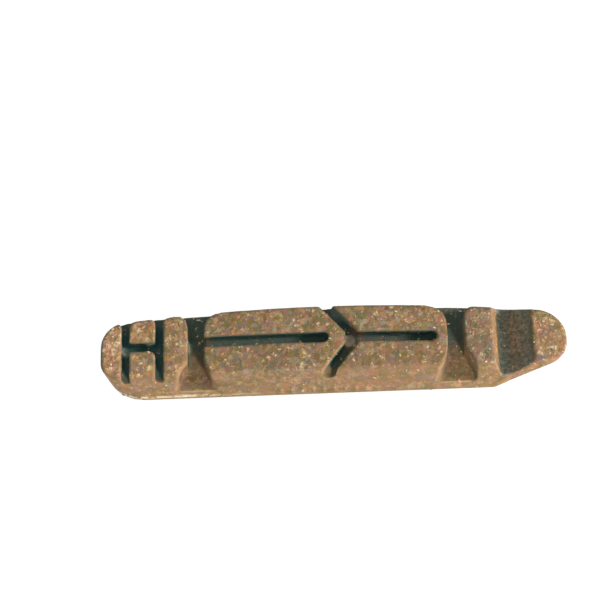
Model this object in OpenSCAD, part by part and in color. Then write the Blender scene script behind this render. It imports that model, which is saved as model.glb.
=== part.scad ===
// Rim brake pad insert for a slide-in holder, moulded in one piece.
// The pad rests on the flat back of its rail, with the friction face up.
// +X points to the nose, the end with the slanted back, and +Y to the bowed side.
// Places along the pad are given as distances from the nose or from the tail.

/* [Overall] */
// Length of the pad from nose to tail
pad_len = 52; // [48:0.5:60]
// Width of the body at the shoulder, over the bow
body_w = 9.7; // [9:0.1:11]
// Height of the body above the shoulder
body_h = 4.92; // [4.4:0.02:6]
// Angle at which the two long sides draw in towards the friction face
side_draft = 10.5; // [4:0.5:12]
// Radius of the rounded edge around the friction face
face_edge_r = 0.25; // [0.1:0.05:0.4]

/* [Plan outline] */
// Radius of the bow of the +Y side at the face
bow_r = 208; // [160:1:400]
// Radius of the bow of the +Y side at the shoulder, where it is nearly straight
shoulder_bow_r = 900; // [400:50:2000]
// Place of the fullest point of the bow, from mid length towards the nose
bow_shift = -1.5; // [-4:0.5:4]
// Corner radius of the tail at the face, straight side
tail_face_r = 1.8; // [1:0.1:3]
// Corner radius of the tail at the shoulder, both sides
tail_foot_r = 4.4; // [2:0.1:4.4]
// Corner radius of the tail at the face, bowed side
tail_bow_r = 3; // [1:0.1:3.4]
// Corner radius of the nose at the face, straight side
nose_r = 2.5; // [1:0.05:3]
// Corner radius of the nose at the face, bowed side
nose_bow_r = 3.5; // [1.5:0.1:4]
// Corner radius of the nose carried down to the shoulder, both sides
nose_foot_r = 4; // [2:0.1:4.4]
// How far the nose carried down to the shoulder stands back from the tip
nose_rake = 1.4; // [0:0.1:2]
// How far the tail leans out from the shoulder to the face
tail_lean = 0.15; // [0:0.05:0.4]

/* [Rail] */
// Height of the rail, from its back to the shoulder
rail_h = 3.42; // [3:0.02:4.4]
// Width of the rail at its back
rail_w = 5.9; // [5.5:0.1:6.6]
// Width of the rail at its neck, against the body
neck_w = 5; // [4.4:0.1:5.4]
// Offset of the rail from mid width, away from the bow
rail_offset = 0.3; // [0:0.05:0.4]
// Distance from the tail of the body to the end of the rail
rail_setback = 1.6; // [1:0.1:3]
// Corner radius of the rail at its tail end
rail_end_r = 2.4; // [1:0.1:2.7]
// Distance from the nose at which the rail starts to taper
rail_taper_start = 12.2; // [10:0.1:16]
// Angle of the two lead-in tapers of the rail
rail_taper_angle = 10; // [4:1:12]

/* [Nose] */
// Length over which the back of the nose slants up to the tip
nose_run = 8.2; // [7:0.1:9.5]
// Thickness left at the tip
nose_lip = 0.35; // [0.25:0.05:0.8]
// Width of each bevel beside the slanted back
nose_bevel_w = 0.9; // [0.5:0.05:1.2]
// Depth of each bevel, square to the slanted back
nose_bevel_d = 1.4; // [0.8:0.1:1.8]
// Distance from the nose at which its sides start to draw in
nose_neck_start = 8.4; // [8:0.1:10]
// Length over which its sides draw in
nose_neck_run = 2; // [1:0.1:3]
// How far each side draws in over that length, at the shoulder
nose_neck_in = 0.55; // [0.3:0.05:0.8]
// Angle at which each side then runs in towards the tip
nose_neck_angle = 4.5; // [0:0.5:6]

/* [Arch] */
// Length of the flat land at the tip
land_len = 3.75; // [3:0.05:4.5]
// Slope of the arch behind the land
arch_slope = 45; // [40:1:50]
// Radius of the bottom of the arch
arch_r = 2.4; // [1.6:0.1:2.4]
// Depth of the arch below the friction face
arch_depth = 2.55; // [2.2:0.05:2.9]
// Lean of the wall on the tooth side of the arch
arch_wall_lean = 18; // [5:1:25]

/* [Nose tooth] */
// Distance from the nose to the front of the nose tooth
nose_tooth_start = 8.2; // [8:0.02:9.5]
// Length of the nose tooth
nose_tooth_len = 3.22; // [2.5:0.02:4]

/* [Tail teeth] */
// Length of the tail block
tail_block_len = 2.38; // [2:0.02:3]
// Length of the two middle blocks
mid_block_len = 2.95; // [2.5:0.05:4]
// Length of the last full tooth, beside the tail recess
tail_tooth_len = 2.76; // [2.4:0.02:4]

/* [Recesses] */
// Length of each recess at the friction face
recess_len = 1.82; // [1.4:0.02:2.4]
// Depth of a recess at the bowed side
recess_depth = 2.1; // [1.4:0.05:2.2]
// Depth of a recess at the straight side
recess_low_depth = 3.45; // [2.6:0.05:4]
// Distance of the crease in the recess floor from mid width
recess_crease = 1.5; // [0.5:0.1:2.5]
// Length by which the nose tooth is cut back at the straight side
nose_tooth_flare = 1.27; // [0.5:0.01:1.8]
// Radius by which the front block is rounded off at the straight side
front_flare_r = 4.6; // [4:0.1:6]
// Length by which the rear block grows towards the recess floor at the straight side
rear_flare = 1.75; // [1.2:0.05:2.2]
// Length by which the last full tooth is cut back at the straight side
tail_tooth_flare = 1.75; // [1.2:0.05:2.1]

/* [Slots and grooves] */
// Width of each slot across the pad
slot_w = 0.82; // [0.6:0.02:1.1]
// Depth of each slot
slot_depth = 1.5; // [1:0.1:2]
// Width of the bar between the slots
bar_w = 1.04; // [0.7:0.02:1.4]
// Place of the bar, from mid width towards the straight side
bar_offset = 0.32; // [0:0.02:0.6]
// Width of the long grooves
groove_w = 1.25; // [0.9:0.05:1.6]
// Depth of the long grooves and of the branching groove
groove_depth = 1.6; // [1.2:0.1:2]
// Length of solid face between the long groove of the front block and its nose end
front_block_land = 1.2; // [0.8:0.1:2]
// Distance from the fork to the end of the long groove of the rear block
rear_block_land = 3.1; // [2.4:0.1:4]
// Distance from mid length to the fork, towards the nose
fork_shift = 2.6; // [-4:0.05:6]
// Distance from the fork to the blunt point of the rear block
fork_point = 1.35; // [1:0.05:1.8]
// Width of the arm of the fork towards the bowed side
bow_arm_w = 1.06; // [0.7:0.02:1.4]
// Angle of that arm from the length of the pad
bow_arm_angle = 49; // [40:1:70]
// Depth of that arm, down to its round bottom
bow_arm_depth = 1.65; // [1.4:0.05:2.2]
// Width of the arm of the fork towards the straight side
low_arm_w = 1.16; // [0.8:0.02:1.5]
// Angle of that arm from the length of the pad
low_arm_angle = 52; // [40:1:70]
// Depth of that arm, down to its round bottom
low_arm_depth = 1.75; // [1.4:0.05:2.6]

/* [Block corners] */
// Corner radius of the last full tooth, bowed side
tooth_corner_r = 1.4; // [0.6:0.1:2]
// Corner radius of the tail end of the rear block, bowed side
rear_corner_r = 1.9; // [0.8:0.1:2.4]
// Corner radius of the nose end of the front block, bowed side
front_corner_r = 2.2; // [0.8:0.1:2.6]
// Corner radius of the nose tooth, bowed side
nose_tooth_corner_r = 1.5; // [0.6:0.1:1.8]
// Corner radius of the small blocks at the slots
small_corner_r = 0.7; // [0.3:0.1:1]

/* [Wear marks] */
// Distance of the wear marks from the shoulder
wear_drop = 0.6; // [0.4:0.05:0.9]
// Thickness of a raised wear mark
wear_w = 0.26; // [0.15:0.01:0.4]
// How far the wear marks stand proud of the side
wear_proud = 0.1; // [0.05:0.01:0.11]
// Length of each of the two wear lines
wear_line_len = 4.8; // [3:0.1:6]
// Number of ticks between the two wear lines
wear_ticks = 9; // [0:1:12]
// Distance from one tick to the next
wear_pitch = 1.2; // [0.8:0.05:1.6]
// Height of a tick
wear_tick_h = 0.9; // [0.6:0.05:1.2]
// Distance from each end of the pad to the middle of a wear line
wear_setback = 15.6; // [14:0.1:17]
// Distance by which all of these marks lie towards the tail
wear_shift = 1.2; // [0:0.1:2]
// Length of the mark at the tail
tail_mark_len = 5.6; // [3:0.1:7]

/* [Hidden] */

total_h = rail_h + body_h;
half_w = body_w / 2;
// How far a long side draws in from the shoulder to the face
side_inset = body_h * tan(side_draft);
// Margin by which a cutter runs past what it cuts
over = 1;
// Overlap of the body with the planes that trim it
trim = 0.05;
// Segments of a quarter arc in the plan outlines
arc_steps = 10;
// Segments of the bow
bow_steps = 14;

nose_x = pad_len / 2;
tail_x = -pad_len / 2;
// Distances along X of the main breaks in the friction face
tooth_front = nose_x - nose_tooth_start;
tooth_back = tooth_front - nose_tooth_len;
block_front = tooth_back - recess_len;
slot_1 = tail_x + tail_block_len;
slot_2 = slot_1 + slot_w + mid_block_len;
tail_tooth_back = slot_2 + slot_w;
tail_tooth_front = tail_tooth_back + tail_tooth_len;
block_back = tail_tooth_front + recess_len;
fork_x = fork_shift;
// Small offset of the grooves from the middle of the face, and their slope along the pad
fork_y = 0.13;
groove_slope = 0.01;
// Corner radii of the foot, held within the width that the shoulder has
foot_limit = half_w - 0.35;
tail_foot = min(tail_foot_r, foot_limit);
nose_foot = min(nose_foot_r, foot_limit);

// Height of the bowed side above mid width at x, where it is drawn in by inset
function bow(x, inset, r) = half_w - inset - pow(x - bow_shift, 2) / (2 * r);

// Edge of the friction face on the bowed side at x
function face_edge(x) = bow(x, side_inset, bow_r);

// Middle of the friction face at x
function mid_line(x) = (face_edge(x) - half_w + side_inset) / 2 + fork_y - groove_slope * x;

// Points along an arc
function arc(cx, cy, r, from, to) =
    [for (i = [0 : arc_steps]) let (a = from + (to - from) * i / arc_steps)
        [cx + r * cos(a), cy + r * sin(a)]];

// Plan outline with the long sides drawn in, the two ends moved in, and its radii:
// tail and nose corners on the straight side, then tail and nose corners on the bowed side
function outline(inset, r, tail_in, nose_in, tail_r, tip_r, tail_top_r, tip_top_r) =
    let (x0 = tail_x + tail_in,
         x1 = nose_x - nose_in,
         y0 = -half_w + inset,
         xa = x0 + tail_top_r,
         xb = x1 - tip_top_r)
    concat(
        arc(x0 + tail_r, y0 + tail_r, tail_r, 180, 270),
        arc(x1 - tip_r, y0 + tip_r, tip_r, 270, 360),
        arc(xb, bow(xb, inset, r) - tip_top_r, tip_top_r, 0, 90),
        [for (i = [1 : bow_steps - 1]) let (x = xb + (xa - xb) * i / bow_steps) [x, bow(x, inset, r)]],
        arc(xa, bow(xa, inset, r) - tail_top_r, tail_top_r, 90, 180));

// Tapered body between the shoulder and the rounded edge of the face
module body_blank() {
    edge = face_edge_r;
    intersection() {
        hull() {
            translate([0, 0, rail_h - trim]) linear_extrude(trim)
                polygon(outline(0, shoulder_bow_r, tail_lean, nose_rake,
                    tail_foot, nose_foot, tail_foot, nose_foot));
            translate([0, 0, total_h - edge]) linear_extrude(trim)
                polygon(outline(side_inset, bow_r, 0, 0, tail_face_r, nose_r, tail_bow_r, nose_bow_r));
            translate([0, 0, total_h]) linear_extrude(trim)
                polygon(outline(side_inset + edge, bow_r, edge, edge, tail_face_r - edge / 2,
                    nose_r - edge / 2, tail_bow_r - edge / 2, nose_bow_r - edge / 2));
        }
        translate([tail_x - over, -half_w - over, rail_h])
            cube([pad_len + 2 * over, body_w + 2 * over, body_h]);
    }
}

// Dovetail rail, wide at its back, with a rounded tail end and a tapered lead-in
module rail_blank() {
    end_x = tail_x + rail_setback;
    taper_x = nose_x - rail_taper_start;
    half = rail_w / 2;
    taper_drop = (nose_x - taper_x) * tan(rail_taper_angle);
    translate([0, -rail_offset, 0]) intersection() {
        translate([end_x - over, 0, 0]) rotate([90, 0, 90]) linear_extrude(pad_len)
            polygon([[-half, 0], [half, 0], [neck_w / 2, rail_h + trim], [-neck_w / 2, rail_h + trim]]);
        linear_extrude(rail_h + trim) polygon(concat(
            arc(end_x + rail_end_r, -half + rail_end_r, rail_end_r, 180, 270),
            [[taper_x, -half], [nose_x, -half + taper_drop], [nose_x, half - taper_drop], [taper_x, half]],
            arc(end_x + rail_end_r, half - rail_end_r, rail_end_r, 90, 180)));
    }
}

// Wedge below the slanted back of the nose
module nose_back_cut() {
    rise = total_h - nose_lip;
    slope = rise / nose_run;
    translate([0, half_w + over, 0]) rotate([90, 0, 0]) linear_extrude(body_w + 2 * over)
        polygon([[nose_x - nose_run - over / slope, -over], [nose_x + over, rise + over * slope],
            [nose_x + over, -over]]);
}

// Bevels beside the slanted back, one on each side
module nose_bevels() {
    rise = total_h - nose_lip;
    slant = atan(rise / nose_run);
    half = rail_w / 2;
    reach = body_w;
    far = 3 * body_w;
    lean = nose_bevel_w / nose_bevel_d;
    translate([nose_x - nose_run, -rail_offset, 0]) rotate([0, -slant, 0])
        for (side = [-1, 1]) rotate([90, 0, 90]) linear_extrude(pad_len / 4)
            polygon([[side * half, 0], [side * (half + lean * reach), reach], [side * far, reach],
                [side * far, -over], [side * half, -over]]);
}

// Places where the sides of the nose draw in, as seen in plan
module nose_side_cuts() {
    start = nose_x - nose_neck_start;
    translate([0, 0, rail_h - over]) linear_extrude(body_h + 2 * over) {
        nose_side_plan(start, -half_w, -1);
        nose_side_plan(start, bow(start, 0, shoulder_bow_r), 1);
    }
}

// Plan of the cut at one side of the nose: an arc from the shoulder edge in, then a straight line
module nose_side_plan(start, edge_y, side) {
    turn = 2 * atan(nose_neck_in / nose_neck_run);
    r = nose_neck_run / sin(turn);
    straight = nose_x + over - start - nose_neck_run;
    tip_y = edge_y - side * (nose_neck_in + straight * tan(nose_neck_angle));
    polygon(concat(
        arc(start, edge_y - side * r, r, side * 90, side * (90 - turn)),
        [[nose_x + over, tip_y], [nose_x + over, edge_y + side * over], [start, edge_y + side * over]]));
}

// Arch between the land at the tip and the nose tooth, open to both sides
module arch_cut() {
    land_x = nose_x - land_len;
    floor_z = total_h - arch_depth;
    turn_z = floor_z + arch_r * (1 - cos(arch_slope));
    turn_x = land_x - (total_h - turn_z) / tan(arch_slope);
    low_x = turn_x - arch_r * sin(arch_slope);
    wall_x = min(tooth_front + arch_depth * tan(arch_wall_lean), low_x);
    translate([0, half_w + over, 0]) rotate([90, 0, 0]) linear_extrude(body_w + 2 * over)
        polygon(concat(
            [[land_x + over / tan(arch_slope), total_h + over]],
            arc(low_x, floor_z + arch_r, arch_r, -90 + arch_slope, -90),
            [[wall_x, floor_z], [tooth_front, total_h], [tooth_front, total_h + over]]));
}

// Space above the floor of a recess: level at the bowed side, then falling to the straight side
module above_recess_floor() {
    high_z = total_h - recess_depth;
    low_z = total_h - recess_low_depth;
    fall = (high_z - low_z) / (half_w + recess_crease);
    translate([tail_x, 0, 0]) rotate([90, 0, 90]) linear_extrude(pad_len)
        polygon([[-half_w - over, low_z - over * fall], [recess_crease, high_z], [half_w + over, high_z],
            [half_w + over, total_h + over], [-half_w - over, total_h + over]]);
}

// Plan of a round-over at a block corner, to be cut away
// dx and dy give the way out of the block
module corner_cut(x, y, r, dx, dy) {
    difference() {
        translate([x - (dx > 0 ? r : trim), y - (dy > 0 ? r : over)])
            square([r + trim, r + over]);
        translate([x - dx * r, y - dy * r]) circle(r, $fn = 64);
    }
}

// Recess behind the nose tooth, flared towards the straight side
module nose_recess_plan() {
    edge_y = -half_w + side_inset;
    flare_x = tooth_back + nose_tooth_flare;
    round_y = -0.23 * half_w;
    round_w = front_flare_r / 2;
    polygon([[tooth_back, half_w + over], [tooth_back, -half_w / 3], [flare_x, edge_y],
        [flare_x, -half_w - over], [block_front, -half_w - over], [block_front, half_w + over]]);
    corner_cut(tooth_back, face_edge(tooth_back), nose_tooth_corner_r, -1, 1);
    corner_cut(block_front, face_edge(block_front), front_corner_r, 1, 1);
    translate([block_front - front_flare_r, round_y]) difference() {
        translate([front_flare_r - round_w, -half_w]) square([round_w + trim, half_w]);
        circle(front_flare_r, $fn = 128);
    }
}

// Recess in front of the last full tooth, flared towards the straight side
module tail_recess_plan() {
    edge_y = -half_w + side_inset;
    foot_y = -half_w + side_inset / 4;
    low_y = -half_w - 2 * over;
    back_x = tail_tooth_front - tail_tooth_flare;
    polygon([[block_back, half_w + over], [block_back, -0.45 * half_w],
        [block_back + 0.4 * rear_flare, edge_y], [block_back + rear_flare, foot_y],
        [block_back + rear_flare, low_y], [back_x, low_y], [back_x, foot_y],
        [tail_tooth_front - 0.63 * tail_tooth_flare, edge_y],
        [tail_tooth_front - 0.49 * tail_tooth_flare, edge_y + 0.8 * side_inset],
        [tail_tooth_front, -0.45 * half_w], [tail_tooth_front, half_w + over]]);
    corner_cut(tail_tooth_front, face_edge(tail_tooth_front), tooth_corner_r, 1, 1);
    corner_cut(block_back, face_edge(block_back), rear_corner_r, -1, 1);
}

// Both recesses, down to their creased floor
module recess_cuts() {
    intersection() {
        translate([0, 0, rail_h]) linear_extrude(body_h + over) {
            nose_recess_plan();
            tail_recess_plan();
        }
        above_recess_floor();
    }
}

// The H of two slots and a bar, with rounded block corners
module slot_plan() {
    bar_low = -bar_offset - bar_w / 2;
    for (x = [slot_1, slot_2]) {
        translate([x, -half_w - over]) square([slot_w, body_w + 2 * over]);
        corner_cut(x, face_edge(x), small_corner_r, 1, 1);
        corner_cut(x + slot_w, face_edge(x + slot_w), small_corner_r, -1, 1);
    }
    translate([slot_1, bar_low]) square([slot_2 - slot_1, bar_w]);
    corner_cut(slot_2, bar_low, small_corner_r, 1, 1);
}

module slot_cuts() {
    translate([0, 0, total_h - slot_depth]) linear_extrude(slot_depth + over) slot_plan();
}

// Long groove along the middle of the face, bent like the bow, from x0 to a round end at x1
module long_groove(x0, x1) {
    half = groove_w / 2;
    end = x1 - half;
    step = (end - x0) / bow_steps;
    polygon(concat(
        [for (i = [0 : bow_steps - 1]) [x0 + i * step, mid_line(x0 + i * step) - half]],
        arc(end, mid_line(end), half, -90, 90),
        [for (i = [bow_steps - 1 : -1 : 0]) [x0 + i * step, mid_line(x0 + i * step) + half]]));
}

// Middle of the fork, with a blunt point on the rear block
module fork_plan() {
    translate([fork_x, mid_line(fork_x)]) {
        circle(groove_w / 2, $fn = 48);
        translate([-fork_point, fork_y - groove_w / 2]) square([fork_point, groove_w - 2 * fork_y]);
    }
}

// Arm of the fork with a round bottom, out to one side
module fork_arm(width, depth, turn) {
    translate([fork_x, mid_line(fork_x), total_h - depth]) rotate([90, 0, 90 + turn])
        linear_extrude(body_w) {
            translate([0, width / 2]) circle(width / 2, $fn = 48);
            translate([-width / 2, width / 2]) square([width, depth + over]);
        }
}

module groove_cuts() {
    translate([0, 0, total_h - groove_depth]) linear_extrude(groove_depth + over) {
        long_groove(fork_x, block_front - front_block_land);
        long_groove(block_back - trim, fork_x - rear_block_land);
        fork_plan();
    }
    fork_arm(bow_arm_w, bow_arm_depth, 180 - bow_arm_angle);
    fork_arm(low_arm_w, low_arm_depth, 180 + low_arm_angle);
}

// Raised wear lines and ticks on the straight side, following its slope
module wear_marks() {
    thick = 2 * wear_proud;
    mid_x = pad_len / 2 - wear_setback;
    first_tick = -(wear_ticks - 1) / 2 * wear_pitch - wear_w / 2;
    translate([-wear_shift, -half_w, rail_h]) rotate([-side_draft, 0, 0])
        translate([0, -wear_proud, wear_drop]) {
            for (side = [-1, 1])
                translate([side * mid_x - wear_line_len / 2, 0, 0]) cube([wear_line_len, thick, wear_w]);
            if (wear_ticks > 0) for (i = [0 : wear_ticks - 1])
                translate([first_tick + i * wear_pitch, 0, 0]) cube([wear_w, thick, wear_tick_h]);
            translate([tail_x + tail_foot_r + wear_w, 0, 0]) cube([tail_mark_len, thick, wear_w]);
        }
}

module pad() {
    color([0.58, 0.47, 0.36]) {
        difference() {
            union() {
                body_blank();
                rail_blank();
            }
            nose_back_cut();
            nose_bevels();
            nose_side_cuts();
            arch_cut();
            recess_cuts();
            slot_cuts();
            groove_cuts();
        }
        wear_marks();
    }
}

pad();
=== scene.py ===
"""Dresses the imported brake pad: moulded friction compound with grit, two lamps and a camera."""

import math

import bmesh
import bpy
import numpy as np
from mathutils import Matrix, Quaternion, Vector, noise
from mathutils.bvhtree import BVHTree


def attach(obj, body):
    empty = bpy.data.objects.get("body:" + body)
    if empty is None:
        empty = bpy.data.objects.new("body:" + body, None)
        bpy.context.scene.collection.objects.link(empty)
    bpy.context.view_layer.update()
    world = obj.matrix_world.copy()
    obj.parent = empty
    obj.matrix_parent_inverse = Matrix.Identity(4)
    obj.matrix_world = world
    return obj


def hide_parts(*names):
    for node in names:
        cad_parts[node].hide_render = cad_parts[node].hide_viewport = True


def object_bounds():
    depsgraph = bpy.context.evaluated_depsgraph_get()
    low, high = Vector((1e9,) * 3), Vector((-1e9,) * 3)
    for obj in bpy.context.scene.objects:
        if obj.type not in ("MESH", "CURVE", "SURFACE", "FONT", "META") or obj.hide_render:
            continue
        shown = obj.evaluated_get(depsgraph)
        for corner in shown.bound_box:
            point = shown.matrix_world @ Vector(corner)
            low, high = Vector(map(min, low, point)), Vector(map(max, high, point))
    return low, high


MM = 0.001
SHOULDER_Z = 3.42         # mm, where the rail meets the body
FACE_Z = 8.34             # mm, the friction face
FORK = (2.2, 0.35)        # mm, where the grooves of the face meet

MOULD_CELL = 0.155        # mm, the finest detail that the pad's skin keeps
WELD = 0.0005             # mm, the solid's points that are nearer than this are one
EDGE_SOFTENING = 3        # smoothing passes that round the moulded edges
MARK_SOFTENING = 0.1      # the share of that softening on the raised wear marks
FULL_EDGE = 0.012         # mm, how far a point stands out where the mask of edges is full
SINK = 0.015              # mm, how far the roughened skin lies under the solid's own
SWELL, CRUMB, PIT = 0.02, 0.04, 0.12        # mm, depths of the roughness, wide to narrow
FLAKES_PER_MM2 = 2.2
FLAKE_SEED = 4

PICTURE = 600             # pixels, the photograph's width and height
PAD_IN_PICTURE = (33.5, -52.5)      # pixels right of and above the picture's middle
VIEW_TILT, VIEW_ROLL = 24, 2.15     # degrees
VIEW_DISTANCE = 221.7     # mm
LENS, SENSOR = 118.55, 36           # mm
LAMP_AWAY, LAMP_SIZE = 0.40, 0.06   # m
FLOOR_HALF = 1.5          # m

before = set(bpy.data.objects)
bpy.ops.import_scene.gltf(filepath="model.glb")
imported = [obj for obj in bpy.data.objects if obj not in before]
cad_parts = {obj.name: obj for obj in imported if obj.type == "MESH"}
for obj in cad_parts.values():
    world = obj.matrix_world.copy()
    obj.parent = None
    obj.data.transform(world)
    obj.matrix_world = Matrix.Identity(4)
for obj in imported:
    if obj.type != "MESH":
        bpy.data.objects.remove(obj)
cad_box = [list(corner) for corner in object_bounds()]
scene = bpy.context.scene
scene.view_settings.view_transform = "Standard"


def rgb(red, green, blue):
    """A screen colour, 0 to 255, as the linear colour that a node takes."""
    def linear(value):
        value /= 255
        return value / 12.92 if value <= 0.04045 else ((value + 0.055) / 1.055) ** 2.4
    return linear(red), linear(green), linear(blue), 1.0


class Value:
    """A socket's value: an expression on it adds the Math nodes that work it out."""

    def __init__(self, recipe, socket):
        self.recipe, self.socket = recipe, socket

    def math(self, operation, *values, clamp=False):
        settings = {"operation": operation, "use_clamp": clamp}
        return self.recipe.add("ShaderNodeMath", settings, dict(enumerate(values)))

    def __add__(self, other):
        return self.math("ADD", self, other)

    def __sub__(self, other):
        return self.math("SUBTRACT", self, other)

    def __rsub__(self, other):
        return self.math("SUBTRACT", other, self)

    def __mul__(self, other):
        return self.math("MULTIPLY", self, other)

    def __truediv__(self, other):
        return self.math("DIVIDE", self, other)

    def __pow__(self, other):
        return self.math("POWER", self, other)

    def __gt__(self, other):
        return self.math("GREATER_THAN", self, other)

    __radd__ = __add__
    __rmul__ = __mul__

    def clamped(self):
        return self.math("ADD", self, 0.0, clamp=True)


class Recipe:
    """Builds a node tree: a node's type, then its settings, then its sockets' values or links."""

    def __init__(self, tree):
        self.tree = tree
        tree.nodes.clear()

    def add(self, kind, settings=None, inputs=None, out=0):
        node = self.tree.nodes.new(kind)
        for name, setting in (settings or {}).items():
            if name == "stops":
                self.set_stops(node.color_ramp, setting)
            else:
                setattr(node, name, setting)
        for key, value in (inputs or {}).items():
            if isinstance(value, Value):
                self.tree.links.new(value.socket, node.inputs[key])
            else:
                node.inputs[key].default_value = value
        return Value(self, node.outputs[out]) if len(node.outputs) else node

    @staticmethod
    def set_stops(ramp, stops):
        for _ in range(len(stops) - 2):
            ramp.elements.new(0.5)
        for element, (place, colour) in zip(ramp.elements, stops):
            element.position, element.color = place, colour

    def output_of(self, value, name):
        """Another output of the node that gives this value."""
        return Value(self, value.socket.node.outputs[name])

    def ramp(self, factor, stops):
        return self.add("ShaderNodeValToRGB", {"stops": stops}, {0: factor})

    def mix(self, factor, one, two, blend="MIX"):
        settings = {"data_type": "RGBA", "blend_type": blend}
        return self.add("ShaderNodeMix", settings, {0: factor, 6: one, 7: two}, out=2)

    def band(self, value, low, high):
        """0 below low, 1 above high and a soft step between them."""
        settings = {"interpolation_type": "SMOOTHSTEP"}
        return self.add("ShaderNodeMapRange", settings, {0: value, 1: low, 2: high})

    def noise(self, place, scale, detail=2.0, roughness=0.5):
        return self.add("ShaderNodeTexNoise", None, {
            "Vector": place, "Scale": scale, "Detail": detail, "Roughness": roughness})

    def cells(self, place, scale):
        return self.add("ShaderNodeTexVoronoi", None, {"Vector": place, "Scale": scale})

    def attribute(self, name):
        return self.output_of(self.add("ShaderNodeAttribute", {"attribute_name": name}), "Fac")

    def split(self, vector):
        node = self.add("ShaderNodeSeparateXYZ", None, {0: vector})
        return [self.output_of(node, axis) for axis in "XYZ"]


def material(name):
    """A new empty material and the recipe of its tree."""
    made = bpy.data.materials.new(name)
    made.use_nodes = True
    return made, Recipe(made.node_tree)


def finish_surface(recipe, base, roughness, height, strength, settings):
    """Ends a recipe in a Principled shader with a bump; settings are the same all over."""
    bump = recipe.add("ShaderNodeBump", None,
                      {"Strength": strength, "Distance": 0.05 * MM, "Height": height})
    shader = recipe.add("ShaderNodeBsdfPrincipled", None, {
        "Base Color": base, "Roughness": roughness, "Normal": bump, **settings})
    recipe.add("ShaderNodeOutputMaterial", None, {"Surface": shader})


def place_in_mm(recipe):
    coordinates = recipe.output_of(recipe.add("ShaderNodeTexCoord"), "Object")
    return recipe.add("ShaderNodeVectorMath", {"operation": "SCALE"},
                      {0: coordinates, "Scale": 1 / MM})


class Skin:
    """Where a point of the pad is, in mm, and the masks that the looks of its skin share."""

    def __init__(self, r):
        self.place = place_in_mm(r)
        self.x, self.y, self.z = r.split(self.place)
        normal = r.output_of(r.add("ShaderNodeNewGeometry"), "Normal")
        self.along, _, self.up = r.split(normal)
        self.depth = FACE_Z - self.z
        self.openness = r.attribute("openness")
        self.edge = r.attribute("edge")
        on_top = r.band(self.z, FACE_Z - 0.45, FACE_Z - 0.2)
        self.top_face = r.band(self.up, 0.6, 0.9) * on_top
        self.rail = 1 - r.band(self.z, SHOULDER_Z - 0.25, SHOULDER_Z - 0.05)
        self.at_ends = r.band(self.x.math("ABSOLUTE", self.x), 14.0, 18.0)
        # the mottle is strongest on the face, calmer along its straight side
        calm = (1 - r.band(self.y, -2.4, -0.6)) * (1 - self.at_ends)
        self.mottle = 0.42 + 0.58 * self.top_face * (1 - 0.5 * calm)
        ripple = r.output_of(r.noise(self.place, 2.6, detail=3.0, roughness=0.6), "Color")
        self.warped = r.add("ShaderNodeVectorMath", {"operation": "ADD"},
                            {0: self.place, 1: ripple})


def with_grains(r, skin, base):
    """Grains of two sizes, each with its own colour, dark gaps between them and pale dust."""
    stops = [
        (0.00, rgb(118, 112, 120)), (0.14, rgb(110, 110, 64)), (0.28, rgb(150, 126, 62)),
        (0.42, rgb(148, 96, 54)), (0.56, rgb(216, 170, 124)), (0.70, rgb(208, 122, 98)),
        (0.84, rgb(150, 112, 122)), (1.00, rgb(204, 184, 146))]
    for scale, share in ((1.1, 0.7), (2.2, 0.8)):
        tone = r.split(r.output_of(r.cells(skin.warped, scale), "Color"))
        strength = share * (1 - 0.6 * skin.rail) * skin.mottle * r.band(tone[1], 0.1, 0.6)
        base = r.mix(strength, base, r.ramp(tone[0], stops))
    gap = r.band(r.noise(skin.place, 3.6, detail=4.0, roughness=0.65), 0.54, 0.70)
    base = r.mix(0.55 * gap * skin.mottle, base, rgb(84, 68, 46))
    dust = r.band(r.noise(skin.warped, 4.6, detail=3.0, roughness=0.6), 0.55, 0.70)
    return r.mix(0.5 * dust * skin.mottle, base, rgb(206, 168, 116)), gap


def with_glints(r, skin, base):
    """Flecks of two sizes in the compound, each an orange rim round a pale core that is a painted
    glint, and how far they stand out.
    """
    stops = [
        (0.0, rgb(204, 158, 80)), (0.40, rgb(224, 138, 76)), (0.75, rgb(216, 128, 108)),
        (1.0, rgb(224, 184, 132))]
    share = 0.55
    glow = 0.0
    for scale, least, most in ((0.8, 0.12, 0.28), (1.8, 0.22, 0.40)):
        glint = r.cells(skin.warped, scale)
        tone = r.split(r.output_of(glint, "Color"))
        reach = least + 0.09 * skin.at_ends + most * tone[1] ** 3.0
        near = 1 - r.output_of(glint, "Distance") / reach
        chosen = r.band(tone[0] + 0.4 * skin.at_ends, 1 - share, 1.1 - share)
        chosen = chosen * (0.25 + 0.75 * skin.top_face) * (1 - skin.rail)
        rim = r.ramp(tone[2], stops)
        base = r.mix(0.75 * chosen * r.band(near, -0.5, 0.4), base, rim)
        # painted highlight: the pale core of each fleck stands for a glint
        base = r.mix(0.95 * chosen * r.band(near, 0.25, 0.7), base, rgb(255, 224, 176))
        glow = glow + chosen * r.band(near, -0.5, 0.6)
    return base, glow


def with_face_tones_and_painted_light(r, skin, base):
    """The face a little paler, most at the ends; painted light brightens the tail's face and
    painted shade dulls the tooth by the nose.
    """
    base = r.mix(skin.top_face * (0.02 + 0.06 * skin.at_ends), base, rgb(232, 188, 150))
    # painted light: the tail's face is made brighter, as the light falls along the pad
    at_tail = 1 - r.band(skin.x, -23.5, -19.5)
    brighter = (1.34, 1.24, 1.28, 1)
    base = r.mix(skin.top_face * at_tail, base, brighter, blend="MULTIPLY")
    # painted shade: the tooth by the nose is made duller
    dull = r.band(skin.x, 13.0, 14.5) * (1 - r.band(skin.x, 18.0, 19.0))
    return r.mix(0.3 * skin.top_face * dull, base, rgb(104, 102, 94))


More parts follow.
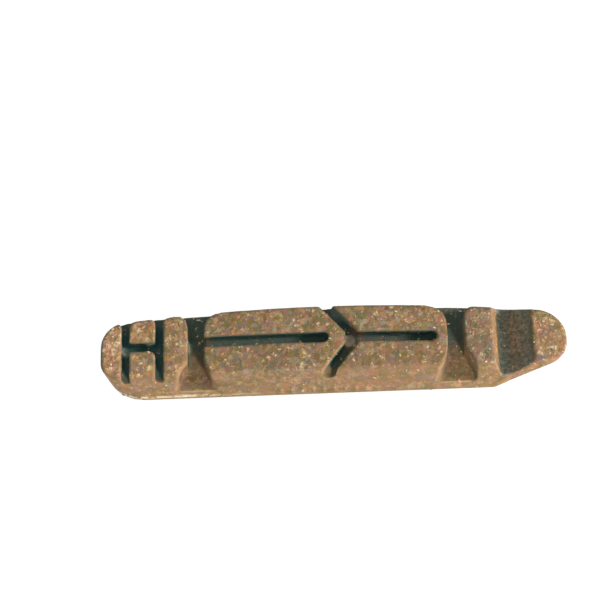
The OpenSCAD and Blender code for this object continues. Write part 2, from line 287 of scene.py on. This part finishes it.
def with_floor_dirt_and_painted_shade(r, skin, base):
    """Dark greenish patches on the sunk floors, partly dirt and partly painted shade; painted
    shade on the recess floors towards the bowed side and in the arch, darkest beside its tooth
    and speckled paler.
    """
    sunk = r.band(skin.depth, 0.35, 0.8) * r.band(skin.up, 0.4, 0.8) * (1 - skin.rail)
    # dark greenish patches on the sunk floors: partly dirt, partly painted shade
    dirt_and_shade = r.band(r.noise(skin.place, 2.6, detail=4.0, roughness=0.75), 0.46, 0.58)
    base = r.mix(0.25 * sunk * dirt_and_shade, base, rgb(62, 76, 66))
    # painted shade on the recess floors towards the bowed side
    bowed_side = r.band(skin.y, -1.2, 0.4) * (1 - r.band(skin.x, 17.0, 18.0))
    base = r.mix(0.65 * sunk * bowed_side, base, rgb(66, 96, 92))
    # painted shade in the arch, speckled paler and darkest beside the tooth
    arch = r.band(skin.x, 18.1, 18.5) * r.band(skin.depth, 0.15, 0.7)
    arch = arch * r.band(skin.up, 0.35, 0.6) * (1 - skin.rail)
    speck = r.band(r.noise(skin.place, 2.4, detail=4.0, roughness=0.8), 0.36, 0.66)
    beside = 1 - r.band(skin.x, 19.0, 20.2)
    base = r.mix(0.85 * arch * (1 - speck), base, rgb(255, 196, 168))
    dark = (0.1 + 0.5 * speck + 0.45 * beside).clamped()
    return r.mix(arch * dark, base, rgb(90, 116, 108))


def with_side_tones_and_painted_light(r, skin, base):
    """A thin painted highlight low along the tail, painted highlights on the edges of the raised
    wear marks, painted light on the tail's end, an even rail and painted shade on other rounded
    edges.
    """
    over_shoulder = skin.z - SHOULDER_Z
    # painted highlight: a thin pale line low along the tail, where the shoulder's edge glints
    line = r.band(over_shoulder, 0.35, 0.50) * (1 - r.band(over_shoulder, 0.80, 1.00))
    line = line * (1 - r.band(skin.x, -18.0, -6.0)) * (1 - r.band(skin.y, -3.5, -2.5))
    streak = r.band(r.noise(skin.place, 1.6, detail=4.0, roughness=0.7), 0.38, 0.52)
    base = r.mix(0.9 * line * streak, base, rgb(255, 226, 186))
    # painted highlight on the edges of the raised wear marks
    marks = r.band(over_shoulder, 0.45, 0.60) * (1 - r.band(over_shoulder, 1.60, 1.75))
    marks = marks * (1 - r.band(skin.y, -4.4, -4.2))
    base = r.mix(0.6 * marks * r.band(skin.edge, 0.25, 0.75), base, rgb(212, 172, 124))
    # painted light on the tail's end, which faces away from the lamps
    end = r.band(-1 * skin.along, 0.35, 0.80) * (1 - r.band(skin.x, -25.0, -24.0))
    base = r.mix(0.9 * end * (1 - skin.rail), base, rgb(221, 154, 108))
    base = r.mix(0.5 * skin.rail, base, rgb(150, 124, 104))
    # painted shade: other rounded edges are a little darker, which dims their highlights
    edge = r.band(skin.edge, 0.5, 1.0) * (1 - marks)
    return r.mix(0.25 * edge, base, rgb(120, 98, 66))


def with_dark_hollows(r, skin, base):
    """Painted shade in the hollows, where little light reaches: greenish, weaker on the open
    floors, browner round the fork where its floor is lit, and flecked with brown towards the
    nose.
    """
    floor = r.band(skin.up, 0.5, 0.9) * r.band(skin.x, -18.0, -17.0)
    shade = r.band(1 - skin.openness, 0.30, 0.66) * (1 - 0.5 * floor)
    fleck = r.band(r.noise(skin.place, 2.4, detail=3.0, roughness=0.7), 0.50, 0.62)
    away = (skin.x - FORK[0]) ** 2.0 + (skin.y - FORK[1]) ** 2.0
    at_fork = 1 - r.band(away, 0.4, 3.2)
    murk = r.mix(0.85 * at_fork, rgb(78, 112, 106), rgb(140, 106, 88))
    murk = r.mix(0.55 * fleck * r.band(skin.x, 1.0, 3.0), murk, rgb(168, 116, 88))
    return r.mix(shade * (0.92 - 0.25 * fleck), base, murk)


def friction_compound():
    """Brown moulded compound, mottled with grains of many colours like ground cork."""
    made, r = material("friction_compound")
    skin = Skin(r)
    cloud = r.noise(skin.place, 0.55, detail=3.0, roughness=0.6)
    base = r.ramp(cloud, [
        (0.30, rgb(124, 106, 68)), (0.44, rgb(148, 117, 78)),
        (0.56, rgb(158, 120, 86)), (0.70, rgb(164, 116, 92))])
    base, gap = with_grains(r, skin, base)
    base, glow = with_glints(r, skin, base)
    # besides tone and wear, these layers paint light, shade and highlights into the colour
    for layer in (with_face_tones_and_painted_light, with_floor_dirt_and_painted_shade, with_side_tones_and_painted_light, with_dark_hollows):
        base = layer(r, skin, base)

    fine = r.noise(skin.place, 9.0, detail=4.0, roughness=0.7)
    coarse = r.noise(skin.place, 3.0, detail=3.0, roughness=0.6)
    height = coarse * 1.1 + fine * 0.9 - gap * 0.6 + glow * 0.5
    roughness = (0.62 + 0.2 * fine - 0.1 * skin.top_face).clamped()
    finish_surface(r, base, roughness, height, 0.7, {"Specular IOR Level": 0.35})
    return made


def grit_finish():
    """Bright mineral and brass flakes: every flake has its own tone."""
    made, r = material("grit")
    base = r.ramp(r.attribute("tone"), [
        (0.00, rgb(150, 118, 74)), (0.25, rgb(176, 128, 84)), (0.45, rgb(190, 128, 100)),
        (0.62, rgb(188, 142, 120)), (0.78, rgb(212, 176, 116)), (1.00, rgb(246, 224, 188))])
    fine = r.noise(place_in_mm(r), 14.0, detail=2.0)
    finish_surface(r, base, 0.36 + 0.2 * fine, fine, 0.25, {"Metallic": 0.25})
    return made


def link_new(name, mesh):
    piece = bpy.data.objects.new(name, mesh)
    scene.collection.objects.link(piece)
    return piece


def freeze(piece):
    """Turns a piece with modifiers into a plain mesh."""
    bpy.context.view_layer.update()
    graph = bpy.context.evaluated_depsgraph_get()
    mesh = bpy.data.meshes.new_from_object(piece.evaluated_get(graph))
    piece.modifiers.clear()
    piece.data = mesh
    return piece


def points_of(mesh, key="co"):
    """The places or, with the key normal, the normals of a mesh's vertices."""
    values = np.empty(len(mesh.vertices) * 3)
    mesh.vertices.foreach_get(key, values)
    return values.reshape(-1, 3)


def neighbour_mean(mesh, values):
    """Each vertex's mean of its neighbours' values."""
    ends = np.empty(len(mesh.edges) * 2, int)
    mesh.edges.foreach_get("vertices", ends)
    ends = ends.reshape(-1, 2)
    total = np.zeros_like(values)
    count = np.zeros(len(values))
    for a, b in ((0, 1), (1, 0)):
        np.add.at(total, ends[:, a], values[ends[:, b]])
        np.add.at(count, ends[:, a], 1)
    return total / np.maximum(count, 1).reshape([-1] + [1] * (values.ndim - 1))


def set_attribute(mesh, name, values):
    attribute = mesh.attributes.new(name, "FLOAT", "POINT")
    attribute.data.foreach_set("value", np.clip(values, 0, 1).astype(np.float32))


def openness(points, normals, solid, lift=0.12, reach=2.2, rays=14):
    """The share of each vertex's outlook that nothing near it blocks; lift and reach in mm."""
    golden = math.pi * (3 - math.sqrt(5))
    free = np.zeros(len(points))
    spread = []
    for i in range(rays):
        tilt = math.asin(math.sqrt((i + 0.5) / rays))
        spread.append(Vector((math.sin(tilt) * math.cos(i * golden),
                              math.sin(tilt) * math.sin(i * golden), math.cos(tilt))))
    for i, (point, normal) in enumerate(zip(points, normals)):
        normal = Vector(normal)
        start = Vector(point) + normal * lift
        turn = normal.to_track_quat("Z", "Y")
        for way in spread:
            if solid.ray_cast(start, turn @ way, reach)[0] is None:
                free[i] += 1
    return free / rays


def trim_to_box(mesh):
    """Grinds off what stands out of the solid's box, as wear does on the friction face."""
    points = points_of(mesh)
    low, high = np.array(cad_box[0]), np.array(cad_box[1])
    mesh.vertices.foreach_set("co", np.clip(points, low, high).ravel())


def soften_edges(piece):
    """Rounds the moulded edges, but hardly the raised marks low on the straight side."""
    _, y, z = points_of(piece.data).T
    on_marks = (y < -4.3) & (z > SHOULDER_Z + 0.4) & (z < SHOULDER_Z + 1.7)
    group = piece.vertex_groups.new(name="soft")
    group.add(np.flatnonzero(~on_marks).tolist(), 1.0, "REPLACE")
    group.add(np.flatnonzero(on_marks).tolist(), MARK_SOFTENING, "REPLACE")
    soften = piece.modifiers.new("soften", "SMOOTH")
    soften.factor, soften.iterations, soften.vertex_group = 0.5, EDGE_SOFTENING, "soft"
    freeze(piece)
    piece.vertex_groups.clear()


def moulded_skin(node):
    """The solid's shape as a fine even mesh in mm, and the solid itself to cast rays at."""
    mesh = node.data.copy()
    mesh.materials.clear()
    mesh.transform(Matrix.Scale(1 / MM, 4))
    shell = bmesh.new()
    shell.from_mesh(mesh)
    bmesh.ops.remove_doubles(shell, verts=shell.verts, dist=WELD)
    solid = BVHTree.FromBMesh(shell)
    shell.to_mesh(mesh)
    shell.free()
    piece = link_new("friction_pad", mesh)
    cells = piece.modifiers.new("cells", "REMESH")
    cells.mode, cells.voxel_size = "VOXEL", MOULD_CELL
    soften_edges(freeze(piece))
    return piece, solid


def mark_edges_and_hollows(mesh, points, normals, solid):
    """Stores the masks edge and openness, which the material reads."""
    outward = ((points - neighbour_mean(mesh, points)) * normals).sum(1)
    for _ in range(3):
        outward = neighbour_mean(mesh, outward)
    set_attribute(mesh, "edge", outward / FULL_EDGE)
    free = openness(points, normals, solid)
    set_attribute(mesh, "openness", neighbour_mean(mesh, free))


def roughened(points, normals):
    """The points sunk by smooth noise of three widths, most on the face, least on the rail."""
    face = np.clip((normals[:, 2] - 0.5) * 3, 0, 1) * (points[:, 2] > SHOULDER_Z + 0.5)
    flank = np.where(points[:, 2] > SHOULDER_Z, 0.35, 0.12)
    amount = np.maximum(face, flank)
    sunk = points.copy()
    for i, point in enumerate(points):
        spot = Vector(point)
        swell = noise.noise(spot * 1.6) * 0.5 + 0.5
        crumb = noise.noise(spot * 3.1 + Vector((7, 3, 1))) * 0.5 + 0.5
        pit = max(0.0, noise.noise(spot * 2.3 + Vector((1, 9, 4))) - 0.42) * 2.2
        depth = SINK + amount[i] * (SWELL * swell + CRUMB * crumb + PIT * pit)
        sunk[i] -= normals[i] * depth
    return sunk


def moulded_pad(node):
    """The solid with soft moulded edges and a slightly rough, worn skin."""
    piece, solid = moulded_skin(node)
    mesh = piece.data
    points = points_of(mesh)
    normals = points_of(mesh, key="normal")
    mark_edges_and_hollows(mesh, points, normals, solid)
    mesh.vertices.foreach_set("co", roughened(points, normals).ravel())
    mesh.transform(Matrix.Scale(MM, 4))
    trim_to_box(mesh)
    mesh.polygons.foreach_set("use_smooth", [True] * len(mesh.polygons))
    mesh.update()
    return piece


def grit_tree(finish):
    """Geometry Nodes that press flakes into a skin: thick on the friction face, few elsewhere."""
    tree = bpy.data.node_groups.new("grit", "GeometryNodeTree")
    r = Recipe(tree)

    def named(name, kind, default=None):
        socket = tree.interface.new_socket(name, in_out="INPUT", socket_type=kind)
        if default is not None:
            socket.default_value = default
    named("Skin", "NodeSocketGeometry")
    named("Flakes per square mm", "NodeSocketFloat", FLAKES_PER_MM2)
    named("Share on the sides", "NodeSocketFloat", 0.3)
    named("Smallest radius", "NodeSocketFloat", 0.04 * MM)
    named("Largest radius", "NodeSocketFloat", 0.22 * MM)
    named("Seed", "NodeSocketInt", FLAKE_SEED)
    named("Finish", "NodeSocketMaterial", finish)
    tree.interface.new_socket("Grit", in_out="OUTPUT", socket_type="NodeSocketGeometry")
    given = r.add("NodeGroupInput")

    def take(name):
        return r.output_of(given, name)

    def random(kind, low, high, seed):
        """A random number or vector for each flake."""
        keys = {"FLOAT": (2, 3, 1), "FLOAT_VECTOR": (0, 1, 0)}[kind]
        return r.add("FunctionNodeRandomValue", {"data_type": kind},
                     {keys[0]: low, keys[1]: high, "Seed": seed}, out=keys[2])

    x, y, z = r.split(r.add("GeometryNodeInputPosition"))
    up = r.split(r.add("GeometryNodeInputNormal"))[2]
    on_face = (up > 0.75) * (z > (SHOULDER_Z + 1.0) * MM)
    on_side = (z > SHOULDER_Z * MM) * take("Share on the sides")
    share = on_face + (1 - on_face) * on_side + 0.03
    patches = r.noise(r.add("GeometryNodeInputPosition"), 420.0, detail=1.0)
    per_area = take("Flakes per square mm") * share * (patches * patches * 4.0) * (1 / MM ** 2)
    points = r.add("GeometryNodeDistributePointsOnFaces", None, {
        "Mesh": take("Skin"), "Density": per_area, "Seed": take("Seed")})
    turn = r.output_of(points, "Rotation")
    flake = r.add("GeometryNodeMeshIcoSphere", None, {"Radius": 1.0, "Subdivisions": 1})
    placed = r.add("GeometryNodeInstanceOnPoints", None, {
        "Points": points, "Instance": flake, "Rotation": turn})
    size_share = random("FLOAT", 0.0, 1.0, 11) ** 3.0
    smallest = take("Smallest radius")
    radius = smallest + (take("Largest radius") - smallest) * size_share
    shape = random("FLOAT_VECTOR", (0.6, 0.4, 0.2), (1.5, 0.9, 0.3), 12)
    size = r.add("ShaderNodeVectorMath", {"operation": "SCALE"}, {0: shape, "Scale": radius})
    scaled = r.add("GeometryNodeScaleInstances", None, {0: placed, "Scale": size})
    tilt = random("FLOAT_VECTOR", (-0.35, -0.35, -3.14), (0.35, 0.35, 3.14), 13)
    turned = r.add("GeometryNodeRotateInstances", None, {0: scaled, "Rotation": tilt})
    marked = r.add("GeometryNodeStoreNamedAttribute",
                   {"data_type": "FLOAT", "domain": "INSTANCE"},
                   {0: turned, "Name": "tone", "Value": random("FLOAT", 0.0, 1.0, 14)})
    real = r.add("GeometryNodeRealizeInstances", None, {0: marked})
    dressed = r.add("GeometryNodeSetMaterial", None, {0: real, "Material": take("Finish")})
    r.add("NodeGroupOutput", None, {0: dressed})
    return tree


def set_inputs(modifier, values):
    """Sets a tree's named inputs, each by its socket's identifier."""
    for item in modifier.node_group.interface.items_tree:
        if item.item_type == "SOCKET" and item.in_out == "INPUT" and item.name in values:
            modifier[item.identifier] = values[item.name]


def scattered_grit(pad, finish):
    """The flakes on the pad as a piece of their own, kept inside the solid's box."""
    piece = link_new("grit", pad.data.copy())
    piece.data.materials.clear()
    modifier = piece.modifiers.new("grit", "NODES")
    modifier.node_group = grit_tree(finish)
    set_inputs(modifier, {"Seed": FLAKE_SEED, "Flakes per square mm": FLAKES_PER_MM2})
    trim_to_box(freeze(piece).data)
    return piece


def camera_at_photo():
    """The photograph's view: from above and a little from the straight side, turned slightly."""
    target = Vector((0, -1.0, 6.26)) * MM
    tilt, roll = math.radians(VIEW_TILT), math.radians(VIEW_ROLL)
    way = Vector((0, -math.sin(tilt), math.cos(tilt)))
    data = bpy.data.cameras.new("camera")
    data.lens, data.sensor_width = LENS, SENSOR
    data.clip_start, data.clip_end = 0.01, 10
    camera = link_new("camera", data)
    offset = Vector((*PAD_IN_PICTURE, -PICTURE * data.lens / data.sensor_width)).normalized()
    to_corner = offset.rotation_difference(Vector((0, 0, -1)))
    upright = way.to_track_quat("Z", "Y")
    turned = Quaternion(way, -roll) @ upright @ to_corner
    camera.matrix_world = (Matrix.Translation(target + way * VIEW_DISTANCE * MM)
                           @ turned.to_matrix().to_4x4())
    scene.camera = camera


def seen_directly(recipe):
    """1 for what the camera sees, also in a reflection or through glass."""
    path = recipe.add("ShaderNodeLightPath")
    rays = [recipe.output_of(path, "Is %s Ray" % kind)
            for kind in ("Camera", "Glossy", "Transmission")]
    return (rays[0] + rays[1] + rays[2]).clamped()


def studio():
    """Plain white floor, two low warm lamps and an even, cooler light from all round."""
    world = bpy.data.worlds.new("surround")
    world.use_nodes = True
    scene.world = world
    r = Recipe(world.node_tree)
    lit = r.add("ShaderNodeBackground", None, {"Color": (0.36, 0.92, 1, 1), "Strength": 0.24})
    seen = r.add("ShaderNodeBackground", None, {"Color": (1, 1, 1, 1), "Strength": 1.0})
    both = r.add("ShaderNodeMixShader", None, {0: seen_directly(r), 1: lit, 2: seen})
    r.add("ShaderNodeOutputWorld", None, {"Surface": both})

    made, r = material("floor")
    matt = r.add("ShaderNodeBsdfDiffuse", None, {"Color": (0.86, 0.86, 0.86, 1)})
    white = r.add("ShaderNodeEmission", None, {"Color": (1, 1, 1, 1), "Strength": 1.18})
    both = r.add("ShaderNodeMixShader", None, {0: 0.82 * seen_directly(r), 1: matt, 2: white})
    r.add("ShaderNodeOutputMaterial", None, {"Surface": both})
    mesh = bpy.data.meshes.new("floor")
    half = FLOOR_HALF
    corners = [(-half, -half, 0), (half, -half, 0), (half, half, 0), (-half, half, 0)]
    mesh.from_pydata(corners, [], [(0, 1, 2, 3)])
    mesh.materials.append(made)
    floor = link_new("floor", mesh)

    warm = (1, 0.96, 0.89)
    lamp("nose side", azimuth=-2, height=24, power=1.38, colour=warm)
    lamp("front", azimuth=-62, height=18, power=1.1, colour=warm)


def lamp(name, azimuth, height, power, colour):
    """A square area lamp that faces the pad: angles in degrees from +X and from the floor."""
    data = bpy.data.lights.new(name, "AREA")
    data.size, data.energy, data.color = LAMP_SIZE, power, colour
    around, above = math.radians(azimuth), math.radians(height)
    way = Vector((math.cos(above) * math.cos(around), math.cos(above) * math.sin(around),
                  math.sin(above)))
    placed = link_new(name, data)
    placed.location = way * LAMP_AWAY
    placed.rotation_euler = way.to_track_quat("Z", "Y").to_euler()


pad = moulded_pad(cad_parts["pad"])
pad.data.materials.append(friction_compound())
grit = scattered_grit(pad, grit_finish())
for piece in (pad, grit):
    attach(piece, "root")
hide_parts("pad")

camera_at_photo()
studio()
